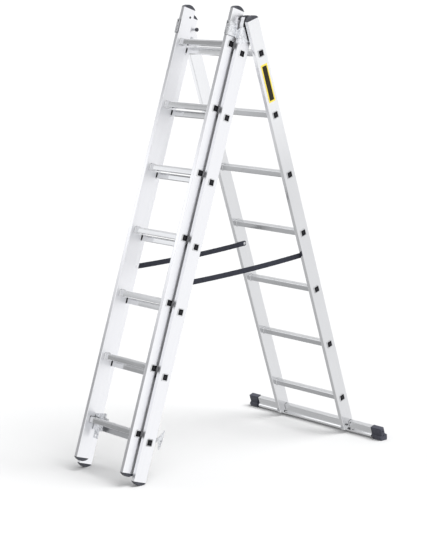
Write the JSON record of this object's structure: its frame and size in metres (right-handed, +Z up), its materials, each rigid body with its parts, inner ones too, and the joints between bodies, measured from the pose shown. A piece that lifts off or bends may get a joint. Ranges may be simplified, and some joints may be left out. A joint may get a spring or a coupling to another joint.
{
  "type": "multi position ladder",
  "caption": "Aluminium multi position ladder with square rungs: a rear section with a stabiliser bar folds on straps to an A-frame, and a front section slides up the middle one.",
  "frame": {"origin": "on the floor, under the middle of the opened ladder's bounding box", "axes": "+X along the rungs to the climber's right, -Y towards the climber at the front section, +Z up"},
  "size_m": [0.868, 1.3558, 1.9717],
  "materials": {
    "aluminium": "mill-finish extrusion, satin",
    "black_plastic": "matt moulded plastic",
    "zinc_steel": "galvanised pressed steel",
    "webbing": "woven webbing"
  },
  "bodies": {
    "middle_section": {"bracket_bolt_left": "zinc_steel", "bracket_bolt_right": "zinc_steel", "guide_bracket_left": "zinc_steel", "guide_bracket_right": "zinc_steel", "hinge_pin_left": "zinc_steel", "hinge_pin_right": "zinc_steel", "middle_foot_left": "black_plastic", "middle_foot_right": "black_plastic", "middle_rail_left": "aluminium", "middle_rail_right": "aluminium", "middle_rung_1": "aluminium", "middle_rung_2": "aluminium", "middle_rung_3": "aluminium", "middle_rung_4": "aluminium", "middle_rung_5": "aluminium", "middle_rung_6": "aluminium", "middle_rung_7": "aluminium", "middle_top_cap_left": "black_plastic", "middle_top_cap_right": "black_plastic", "opening_strap_left": "webbing", "opening_strap_right": "webbing", "rung_hook": "zinc_steel", "strap_rivet_middle_left": "zinc_steel", "strap_rivet_middle_right": "zinc_steel"},
    "front_section": {"front_foot_left": "black_plastic", "front_foot_right": "black_plastic", "front_rail_left": "aluminium", "front_rail_right": "aluminium", "front_rung_1": "aluminium", "front_rung_2": "aluminium", "front_rung_3": "aluminium", "front_rung_4": "aluminium", "front_rung_5": "aluminium", "front_rung_6": "aluminium", "front_rung_7": "aluminium", "front_top_cap_left": "black_plastic", "front_top_cap_right": "black_plastic", "stop_bracket_left": "zinc_steel", "stop_bracket_right": "zinc_steel"},
    "rear_section": {"rear_rail_left": "aluminium", "rear_rail_right": "aluminium", "rear_rung_1": "aluminium", "rear_rung_2": "aluminium", "rear_rung_3": "aluminium", "rear_rung_4": "aluminium", "rear_rung_5": "aluminium", "rear_rung_6": "aluminium", "rear_rung_7": "aluminium", "rear_top_cap_left": "black_plastic", "rear_top_cap_right": "black_plastic", "stabiliser_bar": "aluminium", "stabiliser_bolt_left": "zinc_steel", "stabiliser_bolt_right": "zinc_steel", "stabiliser_cap_left": "black_plastic", "stabiliser_cap_right": "black_plastic", "strap_rivet_rear_left": "zinc_steel", "strap_rivet_rear_right": "zinc_steel"}
  },
  "joints": [
    {"name": "extension_slide", "type": "slide", "parent": "middle_section", "child": "front_section", "axis": [0, 0.314, 0.9494], "range_m": [0, 1.12]},
    {"name": "fold", "type": "hinge", "parent": "middle_section", "child": "rear_section", "pos_m": [0.013, 0.01534, 1.82271], "axis": [-1, 0, 0], "range_deg": [0, 34], "deforming": ["opening_strap_left", "opening_strap_right"]}
  ]
}
